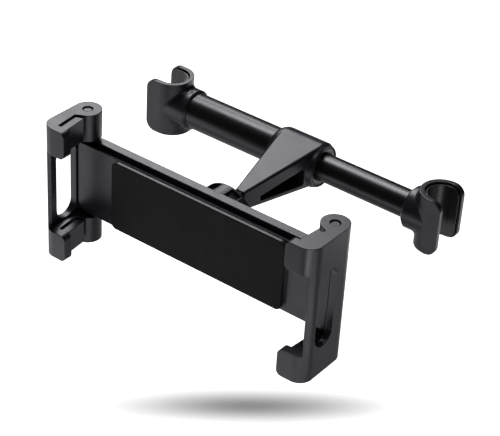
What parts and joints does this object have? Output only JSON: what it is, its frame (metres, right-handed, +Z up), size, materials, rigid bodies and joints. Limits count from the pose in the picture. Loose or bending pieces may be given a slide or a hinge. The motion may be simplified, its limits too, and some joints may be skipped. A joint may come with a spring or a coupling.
{
  "type": "headrest tablet mount",
  "caption": "Car headrest mount: telescopic rod with two open hooks, an arm with a ball joint and a spring-loaded holder whose jaws grip a tablet.",
  "frame": {"origin": "axis of the left headrest post, at the height of the rod's axis", "axes": "+Z up along the posts, +X along the rod to the right-hand post, -Y out of the headrest towards the tablet"},
  "size_m": [0.1507, 0.1009, 0.0606],
  "materials": {
    "body_plastic": "fine satin, charcoal black",
    "jaw_plastic": "fine satin, charcoal black",
    "tube_metal": "black anodised, semi-gloss",
    "pad_rubber": "matt black",
    "liner_rubber": "matt black",
    "seat_plastic": "smooth",
    "small_steel": "dull"
  },
  "bodies": {
    "rod_and_arm": {"left_hook": "body_plastic", "left_hook_liner": "liner_rubber", "outer_tube": "tube_metal", "grip_bush": "seat_plastic", "arm_bracket": "body_plastic"},
    "sliding_rod": {"inner_tube": "tube_metal", "guide_plug": "seat_plastic", "right_hook": "body_plastic", "right_hook_liner": "liner_rubber"},
    "tilt_seat": {"rear_ball_seat": "seat_plastic"},
    "pan_seat": {"front_ball_seat": "seat_plastic"},
    "holder": {"rear_housing": "body_plastic", "front_panel": "body_plastic", "panel_screws": "small_steel", "grip_pad": "pad_rubber", "return_spring": "small_steel"},
    "nut": {"lock_nut": "body_plastic"},
    "left_jaw_set": {"left_jaw": "jaw_plastic", "left_slide": "seat_plastic", "left_upper_pin": "jaw_plastic", "left_lower_pin": "jaw_plastic"},
    "right_jaw_set": {"right_jaw": "jaw_plastic", "right_slide": "seat_plastic", "right_upper_pin": "jaw_plastic", "right_lower_pin": "jaw_plastic"},
    "pinion": {"sync_pinion": "seat_plastic"}
  },
  "joints": [
    {"name": "rod_slide", "type": "slide", "parent": "rod_and_arm", "child": "sliding_rod", "axis": [1, 0, 0], "range_m": [-0.016, 0.016]},
    {"name": "ball_tilt", "type": "hinge", "parent": "rod_and_arm", "child": "tilt_seat", "pos_m": [0.074, -0.0582, 0], "axis": [1, 0, 0], "range_deg": [-15, 15]},
    {"name": "ball_pan", "type": "hinge", "parent": "tilt_seat", "child": "pan_seat", "pos_m": [0.074, -0.0582, 0], "axis": [0, 0, 1], "range_deg": [-15, 15]},
    {"name": "holder_spin", "type": "hinge", "parent": "pan_seat", "child": "holder", "pos_m": [0.074, -0.0582, 0], "axis": [0, 1, 0], "continuous": true},
    {"name": "lock_nut_turn", "type": "hinge", "parent": "holder", "child": "nut", "pos_m": [0.074, -0.0582, 0], "axis": [0, 1, 0], "range_deg": [0, 90]},
    {"name": "left_jaw_slide", "type": "slide", "parent": "holder", "child": "left_jaw_set", "axis": [-1, 0, 0], "range_m": [0, 0.036], "stiffness_N_per_m": 200, "springref_m": -0.03},
    {"name": "right_jaw_slide", "type": "slide", "parent": "holder", "child": "right_jaw_set", "axis": [1, 0, 0], "range_m": [0, 0.036]},
    {"name": "pinion_spin", "type": "hinge", "parent": "holder", "child": "pinion", "pos_m": [0.074, -0.0679, 0], "axis": [0, 1, 0], "range_deg": [-422, 0]}
  ],
  "couplings": [
    {"joint": "right_jaw_slide", "follows": "left_jaw_slide", "ratio": 1},
    {"joint": "pinion_spin", "follows": "left_jaw_slide", "rad_per_m": -204.08}
  ]
}
